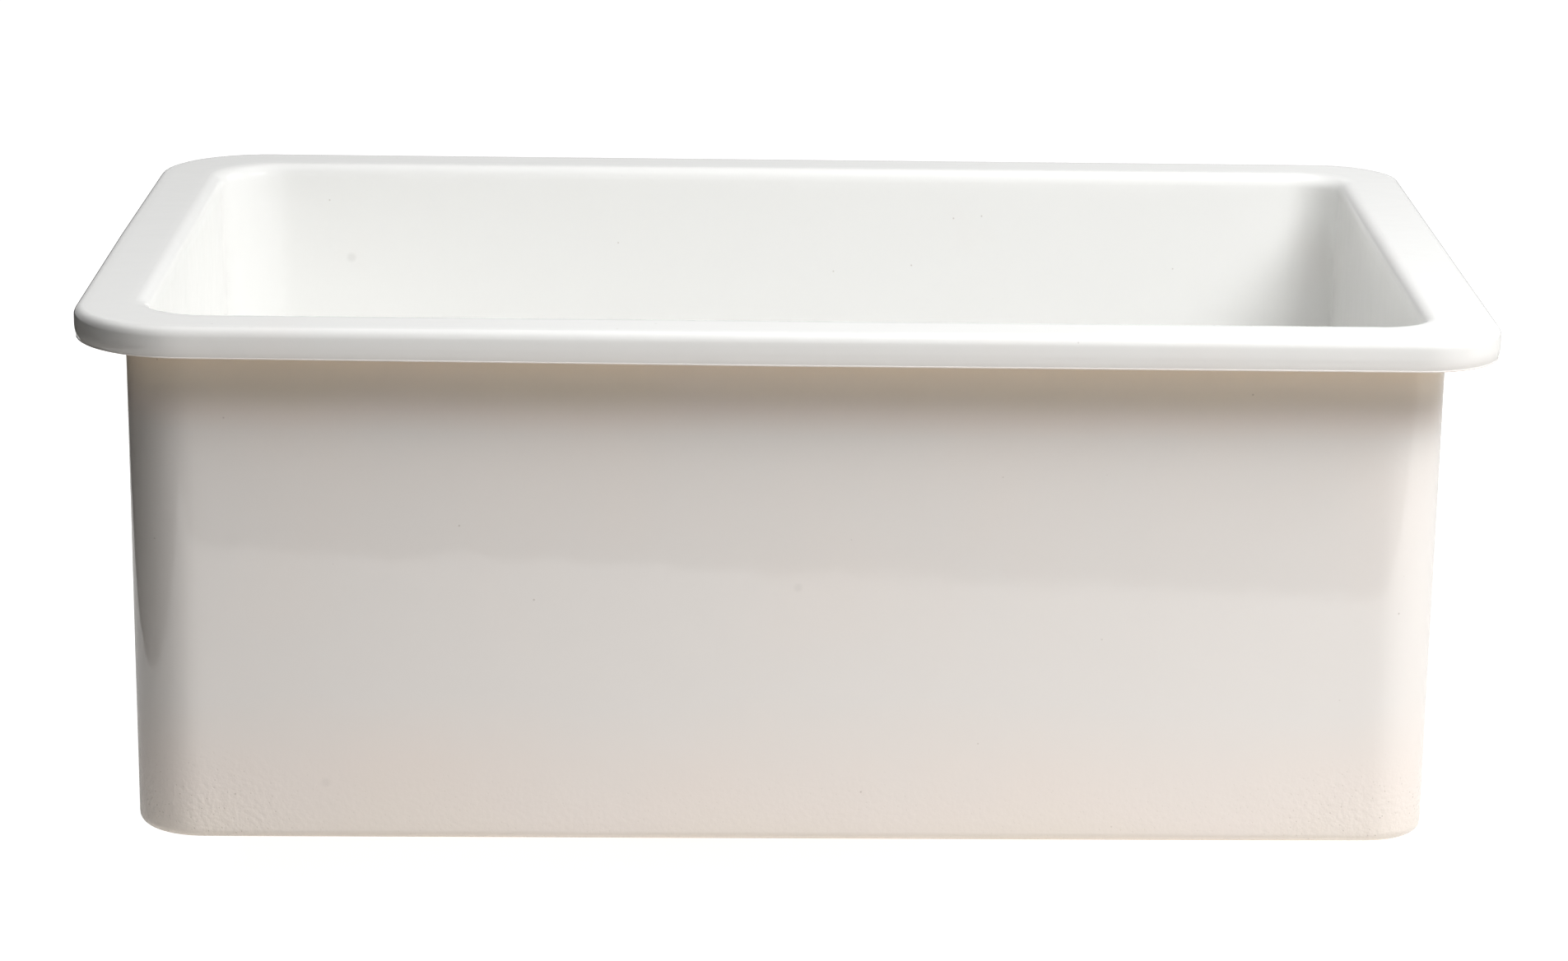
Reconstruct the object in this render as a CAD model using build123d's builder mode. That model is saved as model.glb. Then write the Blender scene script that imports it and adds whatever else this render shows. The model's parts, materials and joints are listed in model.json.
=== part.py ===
"""Undermount fireclay sink with its basket strainer.

+Z is up, +X to the right and -Y the front. The origin is the centre of the rim's top face, the face that
seats under a worktop. Sizes are millimetres.
"""

from build123d import *
import os

# Rim of the casting
rim_width = 686.0
rim_depth = 457.0
rim_thickness = 16.0
rim_corner_radius = 40.0
rim_overhang = 24.5
rim_top_round = 5.0
rim_lower_round = 2.0
rim_neck_round = 3.0

# Walls, floor and base of the casting
sink_height = 260.0
wall_thickness = 10.5
body_corner_radius = 27.0
outside_draft = 0.5
base_round = 9.0
floor_thickness = 17.0
bowl_corner_radius = 26.0
inside_draft = 1.0
lip_round = 5.0
floor_round = 20.0
floor_fall = 0.7

# Outlet in the floor
outlet_diameter = 90.0
outlet_chamfer = 5.0
recess_margin = 3.0
recess_depth = 4.0
recess_round = 2.5
gasket_land_margin = 6.0
gasket_land_depth = 1.5

# Strainer body, drawn from sheet
sheet = 1.2
flange_diameter = 112.0
flange_seal_thickness = 1.2
ledge_width = 3.5
ledge_drop = 2.2
cup_depth = 45.2
cup_bottom_round = 6.0
sheet_bend = 0.5

# Tail nipple, cast, for a tailpiece of 1 1/2 inches
tailpiece_diameter = 38.1
socket_depth = 11.0
shoulder_width = 1.45
shoulder_drop = 1.7
nipple_wall = 4.45
nipple_neck_wall = 2.9
nipple_flange_width = 3.1
nipple_flange_thickness = 2.5
cross_drop = 1.5
cross_height = 4.0
cross_arm_width = 3.0
cross_arm_count = 4
cross_hub_diameter = 13.0
tail_mouth_chamfer = 2.0
tail_thread_chamfer = 1.0

# Fastening below the floor
gasket_outer_diameter = 114.0
gasket_thickness = 3.0
friction_washer_thickness = 1.0
lock_nut_collar_width = 5.0
lock_nut_collar_thickness = 3.0
lock_nut_wall = 6.1
lock_nut_height = 12.0
lock_nut_lug_reach = 6.0
lock_nut_lug_width = 14.0
lock_nut_lug_count = 6
lock_nut_lug_round = 2.0

# Slip joint for the tailpiece
slip_washer_thickness = 2.0
slip_washer_nose = 1.5
coupling_nut_wall = 3.9
coupling_nut_height = 15.0
coupling_lip_thickness = 2.5
coupling_corner_chamfer = 1.5

# Basket
basket_sheet = 0.9
basket_taper = 4.5
basket_floor_round = 5.0
basket_hole_diameter = 4.5
basket_hole_rows = ((15.0, 8), (24.0, 12))
basket_slot_width = 3.8
basket_slot_height = 13.0
basket_slot_count = 16
basket_slot_drop = 5.0

# Hub bushing and detent
bushing_diameter = 10.0
bushing_top_diameter = 15.0
bushing_top_thickness = 1.2
bushing_rivet_diameter = 12.4
bushing_rivet_thickness = 0.8
detent_wire = 0.8
detent_gap = 2.5

# Drop stem
stem_diameter = 6.0
stem_travel = 10.0
stem_tip_stand = 1.0
stem_tip_chamfer = 0.8
detent_groove_depth = 0.4
detent_groove_width = 1.0
collar_diameter = 10.0
collar_thickness = 1.2
knob_diameter = 19.0
knob_foot_diameter = 12.0
knob_waist_diameter = 10.0
knob_waist_height = 6.0
knob_height = 15.0
knob_stand = 9.5
knob_socket_depth = 9.0
knob_flare = 3.0
knob_crown = 2.5
knob_round = 1.0
backing_plate_margin = 4.5
backing_plate_thickness = 1.0
stopper_overlap = 4.0
stopper_thickness = 4.0
stopper_edge_thickness = 2.6
clip_diameter = 11.0
clip_thickness = 0.6
clip_groove_depth = 0.5
clip_grip = 0.8

# Clearances
fixed_clearance = 0.1
seat_clearance = 0.2
thread_clearance = 0.2
slide_clearance = 0.2
gasket_clearance = 0.5
tailpiece_clearance = 0.4
outlet_clearance = 2.3
basket_rim_clearance = 0.8
basket_wall_clearance = 1.0
lift_clearance = 1.2

# Levels, worked out from the sizes
bowl_depth = sink_height - floor_thickness
recess_level = -bowl_depth - recess_depth
land_level = -sink_height + gasket_land_depth
flange_level = recess_level + flange_seal_thickness
ledge_level = flange_level + sheet - ledge_drop
cup_floor_level = ledge_level - cup_depth
nipple_level = cup_floor_level - sheet
cross_level = cup_floor_level - cross_drop
shoulder_level = cross_level - cross_height - shoulder_drop
nipple_end_level = shoulder_level - socket_depth
washer_level = land_level - gasket_thickness
nut_level = washer_level - friction_washer_thickness
basket_rim_level = ledge_level + seat_clearance
stopper_level = cup_floor_level + seat_clearance
plate_level = stopper_level + stopper_thickness
collar_level = plate_level + backing_plate_thickness
bushing_rivet_level = collar_level + collar_thickness + stem_travel + lift_clearance
basket_floor_level = bushing_rivet_level + bushing_rivet_thickness
bushing_top_level = basket_floor_level + basket_sheet + bushing_top_thickness
detent_level = (bushing_rivet_level + bushing_top_level) / 2
knob_level = bushing_top_level + knob_stand
stem_top_level = knob_level + knob_socket_depth - seat_clearance
stem_tip_level = cross_level - cross_height - stem_tip_stand

# Widths, worked out from the sizes
body_width = rim_width - 2 * rim_overhang
body_depth = rim_depth - 2 * rim_overhang
bowl_width = body_width - 2 * wall_thickness
bowl_length = body_depth - 2 * wall_thickness
outlet_radius = outlet_diameter / 2
flange_radius = flange_diameter / 2
gasket_radius = gasket_outer_diameter / 2
recess_radius = flange_radius + recess_margin
land_radius = gasket_radius + gasket_land_margin
cup_radius = outlet_radius - outlet_clearance
ledge_radius = cup_radius + ledge_width
basket_rim_radius = ledge_radius - basket_rim_clearance
basket_mouth_radius = cup_radius - sheet - basket_wall_clearance
basket_floor_radius = basket_mouth_radius - basket_taper
stem_radius = stem_diameter / 2
socket_radius = tailpiece_diameter / 2 + tailpiece_clearance
nipple_radius = socket_radius - shoulder_width
neck_radius = nipple_radius + nipple_neck_wall
throat_radius = neck_radius + fixed_clearance
thread_radius = socket_radius + nipple_wall
stopper_radius = throat_radius + stopper_overlap
backing_plate_radius = stopper_radius - backing_plate_margin


def turned(points):
    """Adds a turned form to the part being built, from its half section as radius and height points."""
    with BuildSketch(Plane.XZ) as section:
        with BuildLine():
            Polyline(*points, close=True)
        make_face()
    revolve(section.sketch, axis=Axis.Z)


def ring(level, thickness, outer_radius, inner_radius):
    """Adds a flat ring, from level upwards, to the part being built."""
    with BuildSketch(Plane.XY.offset(level)) as outline:
        Circle(outer_radius)
        Circle(inner_radius, mode=Mode.SUBTRACT)
    extrude(outline.sketch, amount=thickness)


def drawn_cup(corners, bends, thickness):
    """Adds a cup drawn from sheet: corners follow the middle of the sheet from the flange inwards."""
    with BuildSketch(Plane.XZ) as section:
        with BuildLine():
            FilletPolyline(*corners, radius=bends)
        trace(line_width=thickness)
    revolve(section.sketch, axis=Axis.Z)


def circles(part, radius):
    """The part's circular edges of one radius, lowest first."""
    edges = part.edges().filter_by(GeomType.CIRCLE)
    return edges.filter_by(lambda edge: abs(edge.radius - radius) < 0.01).sort_by(Axis.Z)


# The hollow of the bowl, as the mould's core has it: drafted walls over a floor that falls as a very
# shallow cone to the outlet
with BuildPart() as bowl_core:
    with BuildSketch():
        RectangleRounded(bowl_width, bowl_length, bowl_corner_radius)
    extrude(amount=-sink_height, taper=inside_draft)
    with BuildSketch(Plane.XZ):
        with BuildLine():
            fall = PolarLine((0, -bowl_depth), rim_width, floor_fall)
            Polyline(fall @ 1, (rim_width, -2 * sink_height), (0, -2 * sink_height), fall @ 0)
        make_face()
    revolve(axis=Axis.Z, mode=Mode.SUBTRACT)
    floor_edges = bowl_core.edges().filter_by(lambda edge: edge.center().Z < -bowl_depth / 2)
    floor_edges = floor_edges.filter_by(lambda edge: abs(edge.tangent_at(0.5).Z) < 0.5)
    fillet(floor_edges, floor_round)

# The casting: a drafted box under a rolled flange, hollowed by the core
with BuildPart() as sink_bowl:
    with BuildSketch(Plane.XY.offset(-rim_thickness)):
        RectangleRounded(body_width, body_depth, body_corner_radius)
    extrude(amount=-(sink_height - rim_thickness), taper=outside_draft)
    fillet(sink_bowl.faces().sort_by(Axis.Z)[0].edges(), base_round)
    with BuildSketch():
        RectangleRounded(rim_width, rim_depth, rim_corner_radius)
    extrude(amount=-rim_thickness)
    fillet(sink_bowl.faces().sort_by(Axis.Z)[-1].edges(), rim_top_round)
    rim_underside = sink_bowl.faces().filter_by(Plane.XY).sort_by(Axis.Z)[-2]
    fillet(rim_underside.outer_wire().edges(), rim_lower_round)
    rim_underside = sink_bowl.faces().filter_by(Plane.XY).sort_by(Axis.Z)[-2]
    fillet(rim_underside.inner_wires()[0].edges(), rim_neck_round)
    add(bowl_core.part, mode=Mode.SUBTRACT)
    rim_top = sink_bowl.faces().filter_by(Plane.XY).sort_by(Axis.Z)[-1]
    fillet(rim_top.inner_wires()[0].edges(), lip_round)

    # Recess for the strainer's flange, the outlet through the floor and the land for its gasket
    with BuildSketch(Plane.XY.offset(recess_level)):
        Circle(recess_radius)
    extrude(amount=bowl_depth / 2, mode=Mode.SUBTRACT)
    fillet(circles(sink_bowl, recess_radius)[-1], recess_round)
    with BuildSketch(Plane.XY.offset(-sink_height)):
        Circle(outlet_radius)
    extrude(amount=floor_thickness, mode=Mode.SUBTRACT)
    chamfer(circles(sink_bowl, outlet_radius)[-1], outlet_chamfer)
    with BuildSketch(Plane.XY.offset(-sink_height)):
        Circle(land_radius)
    extrude(amount=gasket_land_depth, mode=Mode.SUBTRACT)
sink_bowl.part.label = "sink_bowl"

# Foam ring under the strainer's flange
with BuildPart() as flange_seal:
    ring(recess_level, flange_seal_thickness, flange_radius, outlet_radius + outlet_chamfer)
flange_seal.part.label = "flange_seal"

# Strainer body: one sheet drawn from the flat flange over the basket's ledge down to the throat
with BuildPart() as strainer_body:
    half_sheet = sheet / 2
    flange_bend = sheet_bend + half_sheet
    drawn_cup(
        (
            (flange_radius, flange_level + half_sheet),
            (ledge_radius + half_sheet, flange_level + half_sheet),
            (ledge_radius + half_sheet, ledge_level - half_sheet),
            (cup_radius - half_sheet, ledge_level - half_sheet),
            (cup_radius - half_sheet, cup_floor_level - half_sheet),
            (throat_radius, cup_floor_level - half_sheet),
        ),
        (flange_bend, flange_bend, flange_bend, cup_bottom_round + half_sheet),
        sheet,
    )
strainer_body.part.label = "strainer_body"

# Tail nipple: a flange under the cup, a neck in its throat, a cross whose hub takes the stem's tip, and
# below it a wider socket whose shoulder stops the tailpiece
with BuildPart() as tail_nipple:
    nipple_flange_level = nipple_level - nipple_flange_thickness
    nipple_flange_radius = thread_radius + nipple_flange_width
    ring(nipple_end_level, nipple_level - nipple_end_level, thread_radius, nipple_radius)
    ring(nipple_flange_level, nipple_flange_thickness, nipple_flange_radius, nipple_radius)
    ring(nipple_level, sheet, neck_radius, nipple_radius)
    with BuildSketch(Plane.XY.offset(cross_level - cross_height)):
        Circle(cross_hub_diameter / 2)
        with PolarLocations(0, cross_arm_count):
            Rectangle((nipple_radius + socket_radius) / 2, cross_arm_width, align=(Align.MIN, Align.CENTER))
        Circle(stem_radius + slide_clearance, mode=Mode.SUBTRACT)
    extrude(amount=cross_height)
    with BuildSketch(Plane.XY.offset(nipple_end_level)):
        Circle(socket_radius)
    extrude(amount=socket_depth, mode=Mode.SUBTRACT)
    chamfer(circles(tail_nipple, thread_radius)[0], tail_thread_chamfer)
    chamfer(circles(tail_nipple, socket_radius)[0], tail_mouth_chamfer)
tail_nipple.part.label = "tail_nipple"

# Rubber gasket and fibre washer below the floor
with BuildPart() as under_gasket:
    ring(washer_level, gasket_thickness, gasket_radius, cup_radius + gasket_clearance)
under_gasket.part.label = "under_gasket"

with BuildPart() as friction_washer:
    ring(nut_level, friction_washer_thickness, gasket_radius, cup_radius + gasket_clearance)
friction_washer.part.label = "friction_washer"

# Lock nut: a collar that bears on the washer, and a threaded ring with lugs for a spanner
with BuildPart() as lock_nut:
    nut_bore = cup_radius + thread_clearance
    nut_radius = nut_bore + lock_nut_wall
    nut_bottom_level = nut_level - lock_nut_height
    nut_collar_level = nut_level - lock_nut_collar_thickness
    ring(nut_collar_level, lock_nut_collar_thickness, nut_radius + lock_nut_collar_width, nut_bore)
    ring(nut_bottom_level, lock_nut_height, nut_radius, nut_bore)
    with BuildSketch(Plane.XY.offset(nut_bottom_level)):
        with PolarLocations(nut_radius, lock_nut_lug_count):
            RectangleRounded(2 * lock_nut_lug_reach, lock_nut_lug_width, lock_nut_lug_round)
        Circle(nut_bore, mode=Mode.SUBTRACT)
    extrude(amount=lock_nut_height)
lock_nut.part.label = "lock_nut"

# Slip washer, with a tapered nose in the nipple's mouth, and the hexagon nut that squeezes it
with BuildPart() as slip_washer:
    washer_radius = thread_radius - tail_thread_chamfer
    nose_radius = socket_radius + tail_mouth_chamfer - fixed_clearance
    turned(
        (
            (socket_radius, nipple_end_level - slip_washer_thickness),
            (washer_radius, nipple_end_level - slip_washer_thickness),
            (washer_radius, nipple_end_level),
            (nose_radius, nipple_end_level),
            (nose_radius - slip_washer_nose, nipple_end_level + slip_washer_nose),
            (socket_radius, nipple_end_level + slip_washer_nose),
        )
    )
slip_washer.part.label = "slip_washer"

with BuildPart() as coupling_nut:
    lip_level = nipple_end_level - slip_washer_thickness
    coupling_level = lip_level - coupling_lip_thickness
    coupling_bore = thread_radius + thread_clearance
    with BuildSketch(Plane.XY.offset(coupling_level)):
        RegularPolygon(coupling_bore + coupling_nut_wall, 6, major_radius=False)
        Circle(socket_radius, mode=Mode.SUBTRACT)
    extrude(amount=coupling_nut_height)
    with BuildSketch(Plane.XY.offset(lip_level)):
        Circle(coupling_bore)
    extrude(amount=coupling_nut_height, mode=Mode.SUBTRACT)
    chamfer(coupling_nut.faces().sort_by(Axis.Z)[0].outer_wire().edges(), coupling_corner_chamfer)
    chamfer(coupling_nut.faces().sort_by(Axis.Z)[-1].outer_wire().edges(), coupling_corner_chamfer)
coupling_nut.part.label = "coupling_nut"

# Basket: a drawn cup that hangs by its rim on the ledge, with rings of holes in its floor and slots round
# its wall
with BuildPart() as slot_cutter:
    with BuildSketch(Plane.YZ.offset(basket_floor_radius - basket_floor_round)):
        with Locations((0, basket_rim_level - basket_slot_drop - basket_slot_height / 2)):
            SlotOverall(basket_slot_height, basket_slot_width, rotation=90)
    extrude(amount=basket_mouth_radius)

with BuildPart() as basket:
    half_basket_sheet = basket_sheet / 2
    drawn_cup(
        (
            (basket_rim_radius, basket_rim_level + half_basket_sheet),
            (basket_mouth_radius - half_basket_sheet, basket_rim_level + half_basket_sheet),
            (basket_floor_radius - half_basket_sheet, basket_floor_level + half_basket_sheet),
            (bushing_diameter / 2 + fixed_clearance, basket_floor_level + half_basket_sheet),
        ),
        (sheet_bend + half_basket_sheet, basket_floor_round + half_basket_sheet),
        basket_sheet,
    )
    with BuildSketch(Plane.XY.offset(basket_floor_level - basket_sheet)):
        for row_radius, hole_count in basket_hole_rows:
            with PolarLocations(row_radius, hole_count):
                Circle(basket_hole_diameter / 2)
    extrude(amount=3 * basket_sheet, mode=Mode.SUBTRACT)
    with PolarLocations(0, basket_slot_count):
        add(slot_cutter.part, mode=Mode.SUBTRACT)
basket.part.label = "basket"

# Hub bushing riveted through the basket's floor, with a groove for the detent ring
with BuildPart() as hub_bushing:
    bushing_bore = stem_radius + slide_clearance
    groove_radius = stem_radius + detent_wire + 2 * fixed_clearance
    groove_half = detent_wire / 2 + fixed_clearance / 2
    turned(
        (
            (bushing_bore, bushing_rivet_level),
            (bushing_rivet_diameter / 2, bushing_rivet_level),
            (bushing_rivet_diameter / 2, basket_floor_level),
            (bushing_diameter / 2, basket_floor_level),
            (bushing_diameter / 2, basket_floor_level + basket_sheet),
            (bushing_top_diameter / 2, basket_floor_level + basket_sheet),
            (bushing_top_diameter / 2, bushing_top_level),
            (bushing_bore, bushing_top_level),
            (bushing_bore, detent_level + groove_half),
            (groove_radius, detent_level + groove_half),
            (groove_radius, detent_level - groove_half),
            (bushing_bore, detent_level - groove_half),
        )
    )
hub_bushing.part.label = "hub_bushing"

# Detent ring: square wire, open at one side so that it springs over the stem
with BuildPart() as detent_ring:
    with BuildSketch(Plane.XY.offset(detent_level - detent_wire / 2)):
        Circle(stem_radius + fixed_clearance + detent_wire)
        Circle(stem_radius + fixed_clearance, mode=Mode.SUBTRACT)
        Rectangle(stem_diameter, detent_gap, align=(Align.MIN, Align.CENTER), mode=Mode.SUBTRACT)
    extrude(amount=detent_wire)
detent_ring.part.label = "detent_ring"


def detent_groove(level):
    """Points of the stem's V groove whose bottom is at one level, from below upwards."""
    return (
        (stem_radius, level - detent_groove_width / 2),
        (stem_radius - detent_groove_depth, level),
        (stem_radius, level + detent_groove_width / 2),
    )


# Stem: a turned rod with a collar over the backing plate, a clip groove and two detent grooves, one that
# the ring holds while the stopper is closed and one while it is lifted
with BuildPart() as stem:
    clip_groove_radius = stem_radius - clip_groove_depth
    turned(
        (
            (0, stem_tip_level),
            (stem_radius - stem_tip_chamfer, stem_tip_level),
            (stem_radius, stem_tip_level + stem_tip_chamfer),
            (stem_radius, stopper_level - clip_thickness - fixed_clearance),
            (clip_groove_radius, stopper_level - clip_thickness - fixed_clearance),
            (clip_groove_radius, stopper_level),
            (stem_radius, stopper_level),
            (stem_radius, collar_level),
            (collar_diameter / 2, collar_level),
            (collar_diameter / 2, collar_level + collar_thickness),
            (stem_radius, collar_level + collar_thickness),
            *detent_groove(detent_level - stem_travel),
            *detent_groove(detent_level),
            (stem_radius, stem_top_level),
            (0, stem_top_level),
        )
    )
stem.part.label = "stem"

# Knob: a flared finger grip with a blind socket for the stem
with BuildPart() as stem_knob:
    with BuildSketch(Plane.XZ):
        with BuildLine():
            grip = FilletPolyline(
                (0, knob_level),
                (knob_foot_diameter / 2, knob_level),
                (knob_waist_diameter / 2, knob_level + knob_waist_height),
                (knob_diameter / 2, knob_level + knob_waist_height + knob_flare),
                (knob_diameter / 2, knob_level + knob_height - knob_crown),
                (0, knob_level + knob_height),
                radius=(knob_round, 2 * knob_round, knob_round, knob_round),
            )
            Line(grip @ 1, grip @ 0)
        make_face()
    revolve(axis=Axis.Z)
    with BuildSketch(Plane.XY.offset(knob_level)):
        Circle(stem_radius + fixed_clearance)
    extrude(amount=knob_socket_depth, mode=Mode.SUBTRACT)
stem_knob.part.label = "stem_knob"

# Stopper: steel plate over a rubber disc whose edge thins to a lip, held up by a clip
with BuildPart() as backing_plate:
    ring(plate_level, backing_plate_thickness, backing_plate_radius, stem_radius + fixed_clearance)
backing_plate.part.label = "backing_plate"

with BuildPart() as stopper:
    turned(
        (
            (stem_radius + fixed_clearance, stopper_level),
            (stopper_radius, stopper_level),
            (stopper_radius, stopper_level + stopper_edge_thickness),
            (backing_plate_radius, plate_level),
            (stem_radius + fixed_clearance, plate_level),
        )
    )
stopper.part.label = "stopper"

with BuildPart() as retaining_clip:
    clip_mouth = 2 * clip_groove_radius - clip_grip
    with BuildSketch(Plane.XY.offset(stopper_level - clip_thickness)):
        Circle(clip_diameter / 2)
        Circle(clip_groove_radius + fixed_clearance, mode=Mode.SUBTRACT)
        Rectangle(clip_diameter, clip_mouth, align=(Align.MIN, Align.CENTER), mode=Mode.SUBTRACT)
    extrude(amount=clip_thickness)
retaining_clip.part.label = "retaining_clip"

os.makedirs("parts", exist_ok=True)
export_step(sink_bowl.part, "parts/sink_bowl.step")
export_step(flange_seal.part, "parts/flange_seal.step")
export_step(strainer_body.part, "parts/strainer_body.step")
export_step(tail_nipple.part, "parts/tail_nipple.step")
export_step(under_gasket.part, "parts/under_gasket.step")
export_step(friction_washer.part, "parts/friction_washer.step")
export_step(lock_nut.part, "parts/lock_nut.step")
export_step(slip_washer.part, "parts/slip_washer.step")
export_step(coupling_nut.part, "parts/coupling_nut.step")
export_step(basket.part, "parts/basket.step")
export_step(hub_bushing.part, "parts/hub_bushing.step")
export_step(detent_ring.part, "parts/detent_ring.step")
export_step(stem.part, "parts/stem.step")
export_step(stem_knob.part, "parts/stem_knob.step")
export_step(backing_plate.part, "parts/backing_plate.step")
export_step(stopper.part, "parts/stopper.step")
export_step(retaining_clip.part, "parts/retaining_clip.step")
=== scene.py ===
"""Undermount fireclay sink: glaze, strainer finishes, studio and camera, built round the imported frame.

Lengths are metres in the row frame: +Z up, +X to the right, -Y the front, and the origin at the
centre of the rim's top face.
"""

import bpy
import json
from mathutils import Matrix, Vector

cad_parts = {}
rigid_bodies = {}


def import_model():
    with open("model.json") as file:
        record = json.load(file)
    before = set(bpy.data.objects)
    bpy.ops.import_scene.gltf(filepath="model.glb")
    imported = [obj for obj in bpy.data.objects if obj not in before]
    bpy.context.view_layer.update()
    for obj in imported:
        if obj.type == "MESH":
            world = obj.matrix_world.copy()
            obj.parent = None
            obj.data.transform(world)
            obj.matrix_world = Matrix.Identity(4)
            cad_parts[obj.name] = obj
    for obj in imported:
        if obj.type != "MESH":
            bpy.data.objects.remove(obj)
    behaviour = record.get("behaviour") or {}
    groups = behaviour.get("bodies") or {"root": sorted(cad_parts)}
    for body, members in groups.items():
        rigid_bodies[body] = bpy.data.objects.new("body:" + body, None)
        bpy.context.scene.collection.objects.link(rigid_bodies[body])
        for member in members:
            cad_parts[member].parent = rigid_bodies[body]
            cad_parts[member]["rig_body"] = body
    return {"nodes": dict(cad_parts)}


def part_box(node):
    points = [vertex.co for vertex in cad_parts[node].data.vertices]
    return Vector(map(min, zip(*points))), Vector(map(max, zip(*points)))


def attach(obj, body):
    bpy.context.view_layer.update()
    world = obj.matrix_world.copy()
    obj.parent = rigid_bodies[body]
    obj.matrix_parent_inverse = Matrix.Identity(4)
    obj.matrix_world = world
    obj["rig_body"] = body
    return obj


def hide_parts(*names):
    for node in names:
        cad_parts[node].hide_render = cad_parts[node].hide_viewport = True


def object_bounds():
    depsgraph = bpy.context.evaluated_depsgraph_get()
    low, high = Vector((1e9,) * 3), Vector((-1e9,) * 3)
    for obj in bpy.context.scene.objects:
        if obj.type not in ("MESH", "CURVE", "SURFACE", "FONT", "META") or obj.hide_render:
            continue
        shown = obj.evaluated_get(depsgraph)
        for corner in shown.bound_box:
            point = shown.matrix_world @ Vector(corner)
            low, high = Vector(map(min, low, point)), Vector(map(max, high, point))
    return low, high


bl_info = {
    "name": "Undermount fireclay sink",
    "version": (1, 0, 0),
    "blender": (4, 5, 0),
    "location": "View3D > Sidebar > Sink",
    "description": "Glazes the casting, finishes the strainer and sets up the studio",
    "category": "Object",
}

import json
from math import cos, pi, radians, sin, tan

import bmesh
import bpy
import numpy as np
from bpy.props import FloatProperty, FloatVectorProperty, PointerProperty
from mathutils import Matrix, Vector

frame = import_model()
cad_low, cad_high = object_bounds()
cast_low, cast_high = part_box("sink_bowl")
cup_low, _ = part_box("strainer_body")
nut_low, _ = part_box("lock_nut")
tail_low, tail_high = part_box("tail_nipple")

MM = 0.001


# Colours and numbers

def linear(hex_colour):
    """Turns an sRGB hex colour, such as "EDEDE8", to linear red, green, blue and alpha."""
    channels = np.array([int(hex_colour[i:i + 2], 16) for i in (0, 2, 4)]) / 255
    low = channels / 12.92
    high = ((channels + 0.055) / 1.055) ** 2.4
    return (*np.where(channels <= 0.04045, low, high).tolist(), 1.0)


def eased(values, start, end):
    """Rises smoothly from 0 at start to 1 at end: 3t^2 - 2t^3 of the share t of the way."""
    share = np.clip((values - start) / (end - start), 0, 1)
    return share * share * (3 - 2 * share)


# Sizes and colours that a user would change

def length(name, default, description):
    """A length in millimetres as a property in metres."""
    return FloatProperty(name=name, default=default * MM, unit="LENGTH", description=description)


def angle(name, default, description):
    """An angle in degrees as a property in radians."""
    return FloatProperty(name=name, default=radians(default), subtype="ANGLE", description=description)


def colour(name, hex_colour, description):
    """A colour property from an sRGB hex value."""
    return FloatVectorProperty(name=name, default=linear(hex_colour), size=4, subtype="COLOR",
                               min=0, max=1, description=description)


def brightness(name, default, description):
    """A strength of light, where 1 is white."""
    return FloatProperty(name=name, default=default, min=0, description=description)


class SinkCasting(bpy.types.PropertyGroup):
    """Section of the casting, and how it moved in the kiln"""
    overhang: length("Overhang", 24.0, "How far the flange stands past the walls")
    flange: length("Flange", 16.0, "Thickness of the flange")
    flange_corner: length("Flange corner", 40.0, "Corner radius of the flange")
    top_round: length("Top round", 4.4, "Round on the flange's top edge")
    face_turn: length("Face turn", 11.5, "How far down the flange's face starts to draw in")
    face_round: length("Face round", 24.0, "Round where the flange's face draws in")
    groove: length("Groove", 15.0, "How far down the groove over the flange's lower bead lies")
    groove_inset: length("Groove inset", 0.85, "How far the groove lies in from the face")
    groove_round: length("Groove round", 0.2, "Round in the groove")
    bead_inset: length("Bead inset", 0.5, "How far the lower bead lies in from the face")
    bead_round: length("Bead round", 0.5, "Round on the lower bead")
    neck_round: length("Neck round", 3.0, "Round where the flange meets the wall")
    body_corner: length("Body corner", 31.0, "Corner radius of the walls outside")
    wall: length("Wall", 11.0, "Thickness of the walls at the rim")
    bowl_corner: length("Bowl corner", 26.0, "Corner radius of the walls inside")
    outside_draft: angle("Outside draft", 0.5, "Draft of the walls outside")
    inside_draft: angle("Inside draft", 1.0, "Draft of the walls inside")
    lip_round: length("Lip round", 7.0, "Round where the flange turns into the bowl")
    base_round: length("Base round", 5.0, "Round along the base's edge")
    floor: length("Floor", 17.0, "Thickness of the floor at its middle")
    floor_round: length("Floor round", 20.0, "Round between the walls and the floor inside")
    floor_fall: angle("Floor fall", 0.7, "Fall of the floor towards the outlet")
    outlet: length("Outlet", 90.0, "Diameter of the outlet")
    outlet_chamfer: length("Outlet chamfer", 5.0, "Chamfer on the outlet's upper edge")
    recess: length("Recess", 118.0, "Diameter of the recess round the outlet")
    recess_depth: length("Recess depth", 4.0, "Depth of the recess")
    recess_round: length("Recess round", 2.5, "Round on the recess's edge")
    recess_foot: length("Recess foot", 1.2, "Round at the recess's foot")
    land: length("Land", 126.0, "Diameter of the gasket's land below")
    land_depth: length("Land depth", 1.5, "Depth of the land")
    soft_edge: length("Soft edge", 0.7, "Round that the glaze leaves on the outlet's edges")
    flange_spread: length("Flange spread", 16.0, "How much rounder the flange's left corners are")
    body_spread: length("Body spread", 5.0, "How much rounder the walls' left corners are outside")
    bowl_spread: length("Bowl spread", 9.0, "How much rounder the bowl's left corners are")
    skew: length("Skew", 1.7, "How far the base is out of level at each end")
    bow: length("Bow", 0.6, "How far the long walls draw in at their middle")
    square: length("Out of square", 1.6, "How far the left side leans in at the back")
    wane: length("Wane", 1.2, "How much thinner the flange is at the left")


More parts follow.
